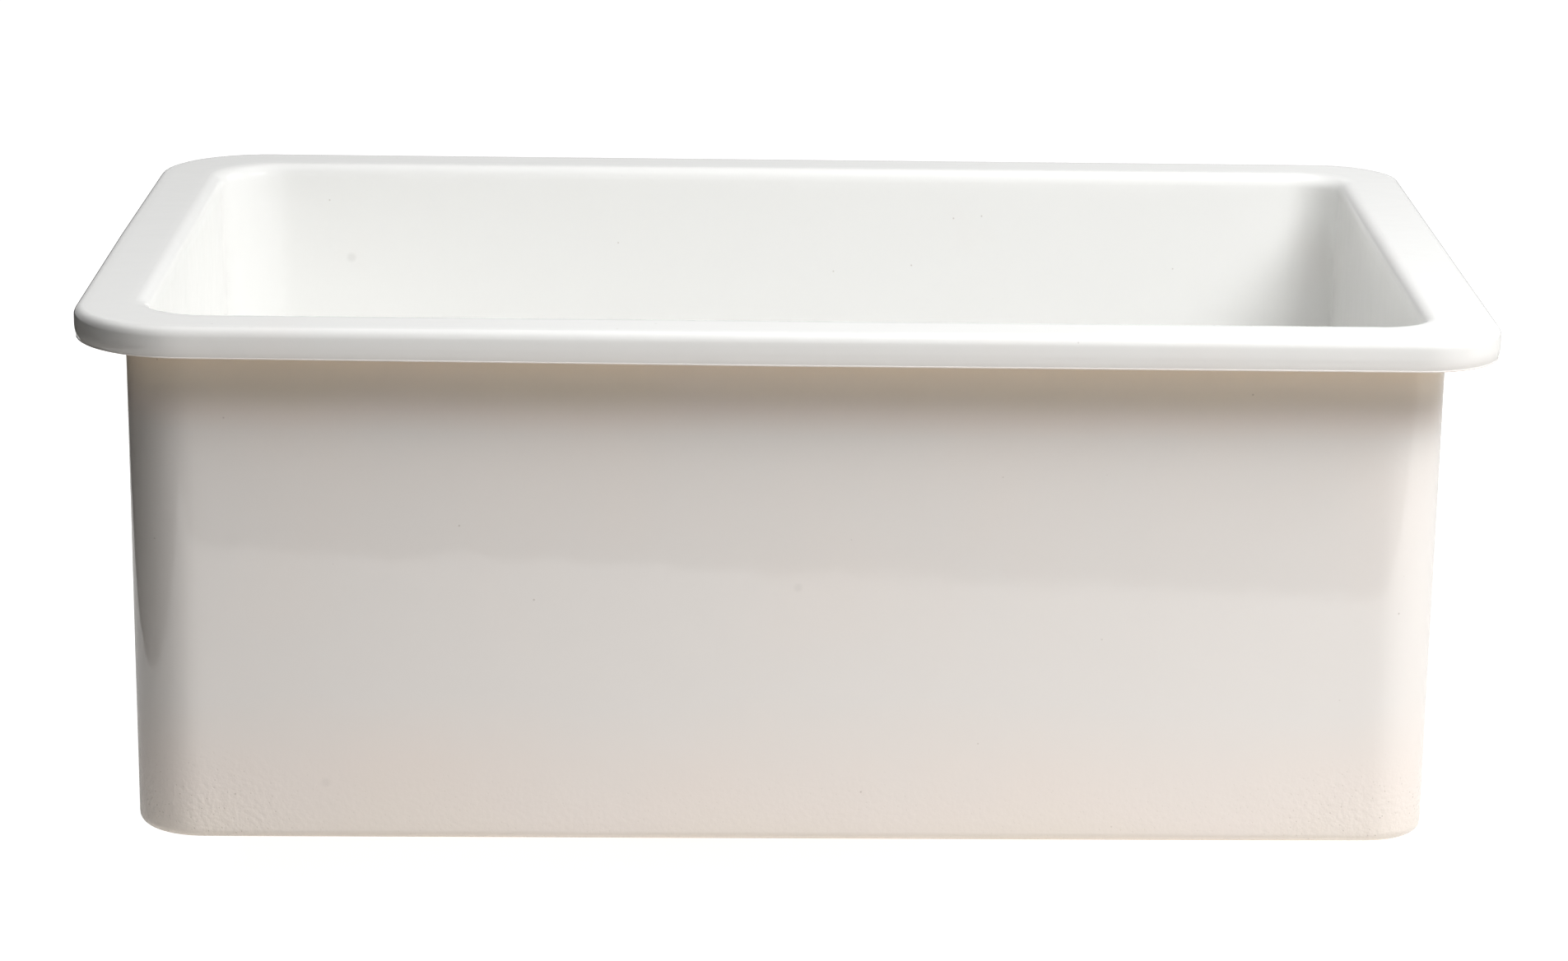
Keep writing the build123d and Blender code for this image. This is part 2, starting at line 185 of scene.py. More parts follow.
class SinkThreads(bpy.types.PropertyGroup):
    """Threads of the strainer"""
    cup_radius: length("Cup radius", 42.7, "Radius of the cup under its thread")
    cup_pitch: length("Cup pitch", 2.1, "Pitch of the cup's thread")
    cup_depth: length("Cup thread depth", 0.45, "Depth of the cup's thread")
    cup_plain: length("Cup plain", 8.0, "How much of the cup stays plain below its thread")
    nut_cover: length("Nut cover", 1.0, "How far the cup's thread runs into the lock nut")
    tail_radius: length("Tail radius", 23.9, "Radius of the tail under its thread")
    tail_pitch: length("Tail pitch", 2.2, "Pitch of the tail's thread")
    tail_depth: length("Tail thread depth", 0.12, "Depth of the tail's thread over its radius")
    tail_plain: length("Tail plain", 2.0, "How much of the tail stays plain below its thread")
    tail_neck: length("Tail neck", 4.5, "How much of the tail stays plain above its thread")


class SinkColours(bpy.types.PropertyGroup):
    """Colours of the finishes"""
    glaze_inside: colour("Glaze inside", "F3F3F1", "Thick glaze of the bowl and rim")
    glaze_outside: colour("Glaze outside", "EBE6E2", "Thinner glaze of the outside")
    # Blushed glaze: thin glaze with a pink cast, lightened as painted light off the floor near the base
    glaze_blush_and_painted_light: colour("Blushed glaze", "EFE5DE", "Glaze thin enough for a pink cast")
    # Lean glaze: thin glaze warmed by the clay, and warmer still as painted shade under the flange
    glaze_lean_and_painted_light: colour("Lean glaze", "F0E6D9", "Glaze so thin that the clay warms it")
    # Bare clay, lightened as painted light where it lies in the flange's shade
    clay: colour("Clay", "F2D2A4", "Bare fired clay")
    iron: colour("Iron", "8E7E6C", "Iron flecks and pinholes in the glaze")
    crater: colour("Crater", "5E5850", "Healed craters in the glaze")
    steel: colour("Steel", "C9C9C6", "Stainless steel sheet")
    polished: colour("Polished steel", "DADAD8", "Polished stainless steel")
    brass: colour("Brass", "C9A45C", "Cast brass")
    plate: colour("Plate", "D2D3D6", "Bright plate on the coupling nut")
    rubber: colour("Rubber", "262524", "Black rubber")
    foam: colour("Foam", "E4E3DD", "Closed-cell foam")
    fibre: colour("Fibre", "7E4634", "Vulcanised fibre")
    plastic: colour("Plastic", "E3E5E2", "Natural polyethylene")
    floor: colour("Floor", "E6E5E2", "Studio floor")
    room: colour("Room", "2E2D2B", "Floor of the dark room past the table")


class SinkStudio(bpy.types.PropertyGroup):
    """Camera, floor and surroundings"""
    camera_place: FloatVectorProperty(
        name="Camera place", default=(-0.0238, -2.4533, 0.4936), subtype="TRANSLATION",
        unit="LENGTH", description="Where the camera stands")
    camera_turn: angle("Camera turn", 0.596, "How far the camera is turned to the right")
    camera_pitch: angle("Camera pitch", 14.243, "How far the camera looks down")
    camera_roll: angle("Camera roll", 0.705, "How far the camera leans")
    lens: FloatProperty(name="Lens", default=111.0, min=1, description="Focal length in millimetres")
    sensor: FloatProperty(name="Sensor", default=36.0, min=1, description="Sensor width in millimetres")
    table_front: length("Table front", -856.0, "Where the bright table ends in front of the sink")
    table_left: length("Table left", -760.0, "Where the bright table ends on the left")
    table_turn: angle("Table turn", 6.5, "How far the table's front edge is turned from the sink's")
    table_glow: brightness("Table glow", 0.27, "Light of the table in mirrors")
    table_bounce: brightness("Table bounce", 0.20, "Extra light off the table")
    backdrop: brightness("Backdrop", 0.60, "Light of the backdrop in mirrors")
    dark_band: brightness("Dark band", 0.30, "Light of the band over the backdrop in mirrors")
    ceiling: brightness("Ceiling", 0.75, "How much brighter the ceiling is than that band")
    ambient: brightness("Ambient", 0.03, "Light from all round")


# Surfaces

def lap(arc_steps, long_steps, short_steps):
    """One anticlockwise lap of a rounded rectangle, from the front of its right side.

    Rows px, py, dx, dy, one column a point. With half sizes a, b and corner radius c the points are
    x = px (a - c) + dx c and y = py (b - c) + dy c: a rectangle's outline pushed out by a circle.
    """
    columns = []
    for quarter, side_steps in enumerate((short_steps, long_steps, short_steps, long_steps)):
        start = (quarter - 1) * pi / 2
        turn = start + np.linspace(0, pi / 2, arc_steps + 1)
        corner = np.array([(1, -1), (1, 1), (-1, 1), (-1, -1)][quarter], float)
        following = np.array([(1, 1), (-1, 1), (-1, -1), (1, -1)][quarter], float)
        arc = np.vstack([np.repeat(corner[:, None], arc_steps + 1, 1), np.cos(turn), np.sin(turn)])
        along = np.linspace(0, 1, side_steps + 1)[1:-1]
        side = corner[:, None] * (1 - along) + following[:, None] * along
        facing = np.repeat([[cos(start + pi / 2)], [sin(start + pi / 2)]], side_steps - 1, 1)
        columns += [arc, np.vstack([side, facing])]
    return np.hstack(columns)


def rounded(corners, rounds, runs, arc_steps):
    """A closed run of points through corners, each rounded to a radius and joined by straight runs.

    corners are rows of numbers whose first three measure the distance. An arc from point p to point q
    about centre m is m + ((p - m) sin(f - s) + (q - m) sin s) / sin f, for s from 0 to the turn f.
    """
    corners = np.array(corners, float)
    before = np.roll(corners, 1, 0) - corners
    after = np.roll(corners, -1, 0) - corners
    before /= np.linalg.norm(before[:, :3], axis=1, keepdims=True).clip(1e-12)
    after /= np.linalg.norm(after[:, :3], axis=1, keepdims=True).clip(1e-12)
    inner = np.arccos((before[:, :3] * after[:, :3]).sum(1).clip(-1, 1))
    pieces, ends = [], []
    for corner, back, on, between, radius in zip(corners, before, after, inner, rounds):
        if radius == 0:
            pieces.append(corner[None])
        else:
            reach = radius / tan(between / 2)
            p, q = corner + back * reach, corner + on * reach
            m = corner + (back + on) * (radius / (2 * sin(between / 2) * cos(between / 2)))
            turn = pi - between
            s = np.linspace(0, turn, arc_steps + 1)[:, None]
            pieces.append(m + ((p - m) * np.sin(turn - s) + (q - m) * np.sin(s)) / sin(turn))
        ends.append((pieces[-1][0], pieces[-1][-1]))
    rows = []
    for i, (points, steps) in enumerate(zip(pieces, runs)):
        along = np.linspace(0, 1, steps + 1)[1:-1, None]
        start, end = ends[i][1], ends[(i + 1) % len(ends)][0]
        rows += [points, start * (1 - along) + end * along]
    return np.vstack(rows)


def closed_mesh(name, points, attributes=None):
    """A smooth mesh from points of shape (rows, columns, 3), whose rows and columns close into rings.

    Face (i, j) joins points (i, j), (i, j + 1), (i + 1, j + 1) and (i + 1, j). The faces are turned so
    that the volume they enclose is positive.
    """
    rows, columns = points.shape[:2]
    i, j = np.arange(rows)[:, None], np.arange(columns)[None]
    below, beside = (i + 1) % rows, (j + 1) % columns
    corners = [(i, j), (i, beside), (below, beside), (below, j)]
    faces = np.stack([row * columns + column for row, column in corners], 2).reshape(-1, 4)
    flat = points.reshape(-1, 3)
    a, b, c, d = (flat[faces[:, k]] for k in range(4))
    volume = (np.cross(b - a, c - a) * a).sum() + (np.cross(c - a, d - a) * a).sum()
    faces = faces if volume > 0 else faces[:, ::-1]
    mesh = bpy.data.meshes.new(name)
    mesh.vertices.add(len(flat))
    mesh.vertices.foreach_set("co", flat.astype(np.float32).ravel())
    mesh.loops.add(faces.size)
    mesh.loops.foreach_set("vertex_index", faces.astype(np.int32).ravel())
    mesh.polygons.add(len(faces))
    mesh.polygons.foreach_set("loop_start", np.arange(0, faces.size, 4, dtype=np.int32))
    for key, values in (attributes or {}).items():
        layer = mesh.attributes.new(key, "FLOAT", "POINT")
        layer.data.foreach_set("value", values.astype(np.float32).ravel())
    mesh.update(calc_edges=True)
    mesh.shade_smooth()
    return mesh


def piece(name, mesh, material, body, nodes=()):
    """Links a finished mesh as a piece that rides on a body and stands for CAD nodes."""
    made = bpy.data.objects.new(name, mesh)
    bpy.context.scene.collection.objects.link(made)
    mesh.materials.clear()
    mesh.materials.append(material)
    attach(made, body)
    if nodes:
        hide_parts(*nodes)


MERGE_DISTANCE = 0.002 * MM
SHARP_EDGE = radians(32)


def finished_copy(name, node, material):
    """Links a CAD node's mesh, its seams merged, its curves shaded smooth and its edges kept crisp."""
    source = frame["nodes"][node]
    mesh = source.data.copy()
    mesh.name = name
    shape = bmesh.new()
    shape.from_mesh(mesh)
    bmesh.ops.remove_doubles(shape, verts=shape.verts, dist=MERGE_DISTANCE)
    shape.to_mesh(mesh)
    shape.free()
    mesh.shade_smooth()
    mesh.set_sharp_from_angle(angle=SHARP_EDGE)
    body = source["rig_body"]
    piece(name, mesh, material, body, [node])


# How the glaze changes down the walls outside: millimetres below the rim, how bare and how lean it is
# there, and the rows of faces down to the next. The lean share is partly painted light: it warms the
# flange's shadow down to 56 mm as painted shade, and lightens the pink near the base as painted light
# off the floor
GLAZE_DOWN = (
    (19.4, 0.85, 1.0, 3),
    (20.8, 0.15, 1.0, 5),
    (34.0, 0.0, 0.95, 6),
    (56.0, 0.0, 0.12, 24),
    (185.0, 0.0, 0.0, 8),
    (222.0, 0.0, 0.45, 8),
    (249.0, 0.0, 0.6, 1),
)
FLOOR_STRIP = 1.0 * MM  # level strip inside the floor's round
FLOOR_TIGHTER = 0.8 * MM  # how much tighter its corners are than the round leaves them
RECESS_RIM = 6.0 * MM  # last round ring outside the recess, before the rings turn square
LEAST_CORNER = 0.2 * MM
WANE_LEVELS = 22 * MM, 60 * MM  # where the wall below the flange takes up its lost thickness
PITS_LEVELS = 0.78, 0.97  # shares of the height between which the pits set in
PITS_REACH = 130 * MM, 45 * MM  # how far from the sink's ends the pits set in and are full
PITS_BETWEEN = 0.25  # share of the pits that is left between the corners


def casting_points(s, height):
    """Points of the casting, rows along its section and columns round it, with its glaze attributes.

    A ring is (inset, radius, level, corner, share, fall, outside, bare, lean): share of the flange's
    outline moved in by inset with that corner radius, plus the rest of a circle of that radius. Its
    height is level + fall * tan(floor_fall) * the distance from the axis, so the floor is a cone. Each
    row of the section is a ring, the round it gets, and the rows of faces to the next.
    """
    half_x, half_y = cast_high.x, cast_high.y
    depth = height - s.floor
    recess_level = -depth - s.recess_depth
    land_level = -height + s.land_depth
    outlet, recess, land = s.outlet / 2, s.recess / 2, s.land / 2

    def inner(level):
        lean_in = -level * tan(s.inside_draft)
        return s.overhang + s.wall + lean_in, s.bowl_corner - lean_in

    def outer(level):
        lean_in = (-level - s.flange) * tan(s.outside_draft)
        return s.overhang + lean_in, s.body_corner - lean_in

    foot = inner(-depth)
    start = foot[0] + s.floor_round + FLOOR_STRIP
    start_corner = foot[1] - s.floor_round - FLOOR_TIGHTER
    spread = recess + RECESS_RIM
    soft = s.soft_edge

    def ringed(radius, level, fall=0.0, outside=0.0, bare=0.0):
        return start, radius, level, start_corner, 0.0, fall, outside, bare, 0.0

    def walled(place, level, fall=0.0, outside=0.0, bare=0.0, lean=0.0):
        return place[0], spread, level, place[1], 1.0, fall, outside, bare, lean

    section = [
        (ringed(outlet, land_level, outside=1, bare=1), soft, 3),
        (ringed(outlet, recess_level - s.outlet_chamfer), soft, 2),
        (ringed(outlet + s.outlet_chamfer, recess_level), soft, 3),
        (ringed(recess, recess_level), s.recess_foot, 1),
        (ringed(recess, -depth, fall=1), s.recess_round, 1),
        (ringed(spread, -depth, fall=1), 0, 26),
        (walled((start, start_corner), -depth, fall=1), 0, 1),
        (walled(foot, -depth, fall=1), s.floor_round, 42),
        (walled(inner(0), 0), s.lip_round, 6),
        (walled((0, s.flange_corner), 0), s.top_round, 3),
        (walled((0, s.flange_corner), -s.face_turn, outside=0.5), s.face_round, 2),
        (walled((s.groove_inset, s.flange_corner), -s.groove, outside=0.8), s.groove_round, 1),
        # lean: thin glaze, plus painted shade under the flange and painted light off the floor near the
        # base
        (walled((s.bead_inset, s.flange_corner), -s.flange, outside=1, lean=0.6), s.bead_round, 6),
        (walled(outer(-s.flange), -s.flange, outside=1, bare=1, lean=1), s.neck_round, 2),
        *((walled(outer(-down * MM), -down * MM, outside=1, bare=bare, lean=lean), 0, steps)
          for down, bare, lean, steps in GLAZE_DOWN),
        (walled(outer(-height), -height, outside=1, bare=0.12, lean=0.7), s.base_round, 3),
        (walled((start, start_corner), -height, outside=1, bare=1, lean=1), 0, 24),
        (ringed(spread, -height, outside=1, bare=1), 0, 1),
        (ringed(land, -height, outside=1, bare=1), soft, 1),
        (ringed(land, land_level, outside=1, bare=1), soft, 4),
    ]
    rings, rounds, steps = zip(*section)
    rows = rounded(rings, rounds, steps, arc_steps=7)
    inset, radius, level, corner, share, fall, outside, bare, lean = rows.T[:, :, None]
    px, py, dx, dy = lap(arc_steps=14, long_steps=92, short_steps=60)[:, None]

    # As fired: the left corners are rounder, those of the flange most
    in_flange = (1 - inset / s.overhang).clip(0)
    in_walls = s.body_spread * outside + s.bowl_spread * (1 - outside)
    rounder = s.flange_spread * in_flange + in_walls * (1 - in_flange)
    corner = corner.clip(LEAST_CORNER) + share * rounder * (1 - px) / 2

    turn = np.arctan2(py * (half_y - start), px * (half_x - start))
    x = share * (px * (half_x - inset - corner) + dx * corner) + (1 - share) * radius * np.cos(turn)
    y = share * (py * (half_y - inset - corner) + dy * corner) + (1 - share) * radius * np.sin(turn)
    z = level + fall * tan(s.floor_fall) * np.hypot(x, y)

    # As fired: the left side is out of square, the long walls draw in, the base is out of level and
    # the flange thinner at the left
    down = (-z / height).clip(0, 1)
    x = x + share * s.square * (-x / half_x).clip(0) * (y / half_y).clip(0)
    y = y * (1 - share * s.bow / half_y * np.cos(pi / 2 * x / half_x) * np.sin(pi * down))
    z = z + s.skew * outside.round() * share * down * x / half_x
    under = outside * eased(-z, s.flange / 2, s.groove) * (1 - eased(-z, *WANE_LEVELS))
    z = z + s.wane * (-x / half_x).clip(0) * under

    near_base = eased(-z, *(share_down * height for share_down in PITS_LEVELS))
    near_corner = eased(np.abs(x), *(half_x - reach for reach in PITS_REACH))
    pits = near_base * (PITS_BETWEEN + (1 - PITS_BETWEEN) * near_corner) * (outside > 0.5)
    ones = np.ones_like(z)
    return np.stack([x, y, z], 2), {
        "outside": outside * ones, "bare": bare * ones, "lean": lean * ones, "pits": pits}


THREAD_COLUMNS = 96
THREAD_ROWS = 8  # rows of faces a pitch
# Shares of a thread's depth: how far it swings, how far it is lifted, how far its ends dip, and how
# deep its inner wall lies
THREAD_SWING, THREAD_LIFT, THREAD_DIP, THREAD_WALL = 0.8, 0.2, 0.6, 1.2


def thread_points(radius, pitch, depth, low, high):
    """Points of a rolled thread as a closed sleeve round a cylinder.

    At angle t and height z the radius is that of the cylinder plus
    depth * (swing * cos(2 pi z / pitch - t) + lift). At both ends the surface dips below the cylinder
    over a turn and closes inside the wall.
    """
    t = np.linspace(0, 2 * pi, THREAD_COLUMNS, endpoint=False)[None]
    z = np.linspace(low, high, int(THREAD_ROWS * (high - low) / pitch) + 1)[:, None]
    fade = eased(z, low, low + pitch) * (1 - eased(z, high - pitch, high))
    wave = THREAD_SWING * np.cos(2 * pi * z / pitch - t) + THREAD_LIFT
    r = radius + depth * (fade * wave - THREAD_DIP * (1 - fade))
    inner = np.full_like(t, radius - THREAD_WALL * depth)
    ends = [np.stack([inner * np.cos(t), inner * np.sin(t), np.full_like(t, z[i, 0])], 2)
            for i in (-1, 0)]
    return np.concatenate([np.stack([r * np.cos(t), r * np.sin(t), z + 0 * t], 2), *ends])


# Materials

# Sockets of a colour Mix node, whose names its sockets of other types share
FACTOR, FIRST, SECOND, MIXED = 0, 6, 7, 2


def add_node(tree, kind, inputs=None, **settings):
    """Adds a shader node with its settings, and its inputs as values or links, and returns it."""
    node = tree.nodes.new(kind)
    for key, value in settings.items():
        setattr(node, key, value)
    for socket, value in (inputs or {}).items():
        if isinstance(value, bpy.types.NodeSocket):
            tree.links.new(value, node.inputs[socket])
        else:
            node.inputs[socket].default_value = value
    return node


def new_material(name):
    """An empty material and its node tree."""
    material = bpy.data.materials.new(name)
    material.use_nodes = True
    material.node_tree.nodes.clear()
    return material, material.node_tree


def per(size):
    """Texture scale at which one feature measures size."""
    return 1 / size


# Marks in the glaze: how large or how far apart they are, and how high or deep. A fleck or a pinhole
# fades from its core to its edge.
DRIFT = 90 * MM
SPECKLE, SPECKLE_HEIGHT = 2.2 * MM, 0.20 * MM
RIPPLE, RIPPLE_HEIGHT = 26 * MM, 0.11 * MM
PEEL, PEEL_HEIGHT = 2.4 * MM, 0.42 * MM
FLECKS, FLECK_CORE, FLECK_EDGE = 20 * MM, 0.24 * MM, 0.68 * MM
PINHOLES, PINHOLE_CORE, PINHOLE_EDGE, PINHOLE_DEPTH = 3.2 * MM, 0.16 * MM, 0.544 * MM, 0.15 * MM
FLECK_DARK, PINHOLE_DARK = 0.35, 0.30
# How far the speckle moves the edge of the bare clay and the drift that of the lean glaze, and the
# values between which each sets in
BARE_RAGGED, BARE_EDGE = 1.1, (0.30, 0.75)
LEAN_UNEVEN, LEAN_EDGE = 0.5, (0.05, 1.0)
# Roughness of thick glaze, what lean glaze adds to it, and the roughness of bare clay
GLAZE_ROUGH, LEAN_ROUGH, CLAY_ROUGH = 0.03, 0.10, 0.8
IOR = 1.5  # of the glaze, and of the moulded parts
# Healed craters: place and radius in millimetres, and how much each darkens the glaze
CRATERS = (
    ((-239, 192, -52), 3.6, 0.10),
    ((7, -203, -131), 3.0, 0.07),
    ((-222, -202, -232), 3.4, 0.06),
)
CRATER_CORE = 0.3  # share of a crater's radius that is at its darkest


def glazed_fireclay(colours):
    """Gloss feldspar glaze, sprayed and fired on fireclay: a thick glassy white in the bowl, thinner and
    warmer outside, thin and pink near the base and bare buff clay under the flange and on the base. Some
    of this is painted light: a warm painted shade under the flange, and the pink near the base and the
    clay lightened as painted light."""
    material, tree = new_material("glazed_fireclay")
    place = add_node(tree, "ShaderNodeTexCoord").outputs["Object"]
    outside, bare, lean, pits = (
        add_node(tree, "ShaderNodeAttribute", attribute_name=name).outputs["Fac"]
        for name in ("outside", "bare", "lean", "pits")
    )
    drift = add_node(tree, "ShaderNodeTexNoise", {"Vector": place, "Scale": per(DRIFT), "Detail": 3.0})
    speckle = add_node(tree, "ShaderNodeTexNoise", {
        "Vector": place, "Scale": per(SPECKLE), "Detail": 4.0, "Roughness": 0.65})
    fleck = add_node(tree, "ShaderNodeTexVoronoi", {"Vector": place, "Scale": per(FLECKS)})
    fleck_mask = add_node(tree, "ShaderNodeMapRange", {
        "Value": fleck.outputs["Distance"], "From Min": FLECK_CORE / FLECKS,
        "From Max": FLECK_EDGE / FLECKS, "To Min": 1.0, "To Max": 0.0})

    # The clay shows in speckles where the glaze stops, and the lean glaze, which also carries the
    # painted
    #     # shade under the flange and painted light near the base, drifts in large patches
    ragged = add_node(tree, "ShaderNodeMath", {0: speckle.outputs["Fac"], 1: 0.5}, operation="SUBTRACT")
    ragged = add_node(tree, "ShaderNodeMath", {0: ragged.outputs[0], 1: BARE_RAGGED, 2: bare},
                      operation="MULTIPLY_ADD")
    bare_mask = add_node(tree, "ShaderNodeMapRange", {
        "Value": ragged.outputs[0], "From Min": BARE_EDGE[0], "From Max": BARE_EDGE[1]},
        interpolation_type="SMOOTHSTEP")
    uneven = add_node(tree, "ShaderNodeMath", {0: drift.outputs["Fac"], 1: 0.5}, operation="SUBTRACT")
    uneven = add_node(tree, "ShaderNodeMath", {0: uneven.outputs[0], 1: LEAN_UNEVEN, 2: lean},
                      operation="MULTIPLY_ADD")
    lean_and_painted_light_mask = add_node(tree, "ShaderNodeMapRange", {
        "Value": uneven.outputs[0], "From Min": LEAN_EDGE[0], "From Max": LEAN_EDGE[1]})
    # Thin glaze takes the blushed colour and thinner the lean one; both carry painted light and shade
    thin = add_node(tree, "ShaderNodeMapRange", {"Value": lean_and_painted_light_mask.outputs[0], "From Max": 0.5})
    thinner = add_node(tree, "ShaderNodeMapRange", {"Value": lean_and_painted_light_mask.outputs[0], "From Min": 0.5})

    hole = add_node(tree, "ShaderNodeTexVoronoi", {"Vector": place, "Scale": per(PINHOLES)})
    hole_mask = add_node(tree, "ShaderNodeMapRange", {
        "Value": hole.outputs["Distance"], "From Min": PINHOLE_CORE / PINHOLES,
        "From Max": PINHOLE_EDGE / PINHOLES}, interpolation_type="SMOOTHSTEP")
    hole_dark = add_node(tree, "ShaderNodeMapRange", {
        "Value": hole_mask.outputs[0], "To Min": PINHOLE_DARK, "To Max": 0.0})
    hole_dark = add_node(tree, "ShaderNodeMath", {0: hole_dark.outputs[0], 1: pits},
                         operation="MULTIPLY")
    iron = add_node(tree, "ShaderNodeMath", {
        0: fleck_mask.outputs[0], 1: FLECK_DARK, 2: hole_dark.outputs[0]}, operation="MULTIPLY_ADD")

    # The blushed and lean glazes and the clay carry painted light and shade as well as their own colours
    layers = [
        (outside, colours.glaze_outside),
        (thin.outputs[0], colours.glaze_blush_and_painted_light),
        (thinner.outputs[0], colours.glaze_lean_and_painted_light),
        (bare_mask.outputs[0], colours.clay),
        (iron.outputs[0], colours.iron),
    ]
    for centre, radius, share in CRATERS:
        centre = tuple(c * MM for c in centre)
        away = add_node(tree, "ShaderNodeVectorMath", {0: place, 1: centre}, operation="DISTANCE")
        dark = add_node(tree, "ShaderNodeMapRange", {
            "Value": away.outputs["Value"], "From Min": CRATER_CORE * radius * MM,
            "From Max": radius * MM, "To Min": share, "To Max": 0.0}, interpolation_type="SMOOTHSTEP")
        layers.append((dark.outputs[0], colours.crater))
    body = colours.glaze_inside
    for mask, tint in layers:
        body = add_node(tree, "ShaderNodeMix", {FACTOR: mask, FIRST: body, SECOND: tint},
                        data_type="RGBA").outputs[MIXED]

    gloss = add_node(tree, "ShaderNodeMapRange", {
        "Value": bare_mask.outputs[0], "To Min": GLAZE_ROUGH, "To Max": CLAY_ROUGH})
    rough = add_node(tree, "ShaderNodeMath", {
        0: lean_and_painted_light_mask.outputs[0], 1: LEAN_ROUGH, 2: gloss.outputs[0]}, operation="MULTIPLY_ADD")

    # The glaze flows in long ripples a few hundredths of a millimetre high. Near the base it has an
    # orange peel and pinholes, and the bare clay a grain.
    ripple = add_node(tree, "ShaderNodeTexNoise", {"Vector": place, "Scale": per(RIPPLE), "Detail": 2.5})
    normal = add_node(tree, "ShaderNodeBump", {
        "Height": ripple.outputs["Fac"], "Distance": RIPPLE_HEIGHT, "Strength": 1.0})
    peel = add_node(tree, "ShaderNodeTexNoise", {"Vector": place, "Scale": per(PEEL), "Detail": 2.0})
    for height, mask, distance, strength in (
        (peel.outputs["Fac"], pits, PEEL_HEIGHT, 1.0),
        (hole_mask.outputs[0], pits, PINHOLE_DEPTH, 0.8),
        (speckle.outputs["Fac"], bare_mask.outputs[0], SPECKLE_HEIGHT, 1.0),
    ):
        masked = add_node(tree, "ShaderNodeMath", {0: height, 1: mask}, operation="MULTIPLY")
        normal = add_node(tree, "ShaderNodeBump", {
            "Height": masked.outputs[0], "Distance": distance, "Strength": strength,
            "Normal": normal.outputs[0]})

    surface = add_node(tree, "ShaderNodeBsdfPrincipled", {
        "Base Color": body, "Roughness": rough.outputs[0], "IOR": IOR, "Normal": normal.outputs[0]})
    add_node(tree, "ShaderNodeOutputMaterial", {"Surface": surface.outputs[0]})
    return material


# Metals: colour, roughness, spacing of the lines in millimetres, drift of the roughness, and whether
# the lines run round the axis. Real lines are finer, and these are as coarse as they need to show.
METALS = {
    # Sheet drawn to a cup and brushed: a soft grey sheen with fine lines round it
    "drawn_stainless": ("steel", 0.30, 0.9, 0.06, True),
    # Rod turned and polished: small bright mirrors
    "polished_stainless": ("polished", 0.12, 0.6, 0.04, True),
    # Cast and left as it came: dull yellow, blotched
    "cast_brass": ("brass", 0.38, 1.6, 0.10, False),
    # Nickel and chrome over machined brass: a cold clear mirror
    "plated_brass": ("plate", 0.10, 2.0, 0.04, False),
}
SMEAR = 14 * MM
LINE_SHADE, LINE_DEPTH, LINE_STRENGTH = 0.90, 0.02 * MM, 0.6


def metal(name, tint, roughness, streak, wear, circular):
    """A bare metal: tint for its colour, fine turning or drawing lines, and blurred smears.

    streak is the spacing of the lines in millimetres and wear how much the roughness drifts.
    """
    material, tree = new_material(name)
    place = add_node(tree, "ShaderNodeTexCoord").outputs["Object"]
    parts = add_node(tree, "ShaderNodeSeparateXYZ", {0: place})
    flat = add_node(tree, "ShaderNodeCombineXYZ", {0: parts.outputs[0], 1: parts.outputs[1]})
    away = add_node(tree, "ShaderNodeVectorMath", {0: flat.outputs[0]}, operation="LENGTH")
    ringed = add_node(tree, "ShaderNodeCombineXYZ", {0: away.outputs["Value"], 2: parts.outputs[2]})
    lines = add_node(tree, "ShaderNodeTexNoise", {
        "Vector": ringed.outputs[0] if circular else place, "Scale": per(streak * MM), "Detail": 2.0})
    smear = add_node(tree, "ShaderNodeTexNoise", {"Vector": place, "Scale": per(SMEAR), "Detail": 3.0})
    rough = add_node(tree, "ShaderNodeMapRange", {
        "Value": smear.outputs["Fac"], "To Min": roughness - wear, "To Max": roughness + wear})
    shade = add_node(tree, "ShaderNodeMapRange", {
        "Value": lines.outputs["Fac"], "To Min": LINE_SHADE, "To Max": 1.0})
    tinted = add_node(tree, "ShaderNodeVectorMath", {0: tint[:3], "Scale": shade.outputs[0]},
                      operation="SCALE")
    normal = add_node(tree, "ShaderNodeBump", {
        "Height": lines.outputs["Fac"], "Distance": LINE_DEPTH, "Strength": LINE_STRENGTH})
    surface = add_node(tree, "ShaderNodeBsdfPrincipled", {
        "Base Color": tinted.outputs[0], "Metallic": 1.0, "Roughness": rough.outputs[0],
        "Normal": normal.outputs[0]})
    add_node(tree, "ShaderNodeOutputMaterial", {"Surface": surface.outputs[0]})
    return material


# Soft parts: colour, roughness, size and depth of the grain in millimetres, and drift of the colour
SOFT_PARTS = {
    # Moulded rubber: near black with a broad dull sheen
    "moulded_rubber": ("rubber", 0.62, 0.5, 0.03, 0.15),
    # Foam cut from a sheet: off-white and matt, with small cells
    "cell_foam": ("foam", 0.85, 0.8, 0.15, 0.05),
    # Vulcanised fibre, punched from a board: red brown and matt, like dense card
    "vulcanised_fibre": ("fibre", 0.70, 0.7, 0.05, 0.2),
    # Moulded polyethylene: milky, with a waxy sheen
    "polyethylene": ("plastic", 0.40, 1.2, 0.02, 0.03),
}
BLOTCH = 12 * MM


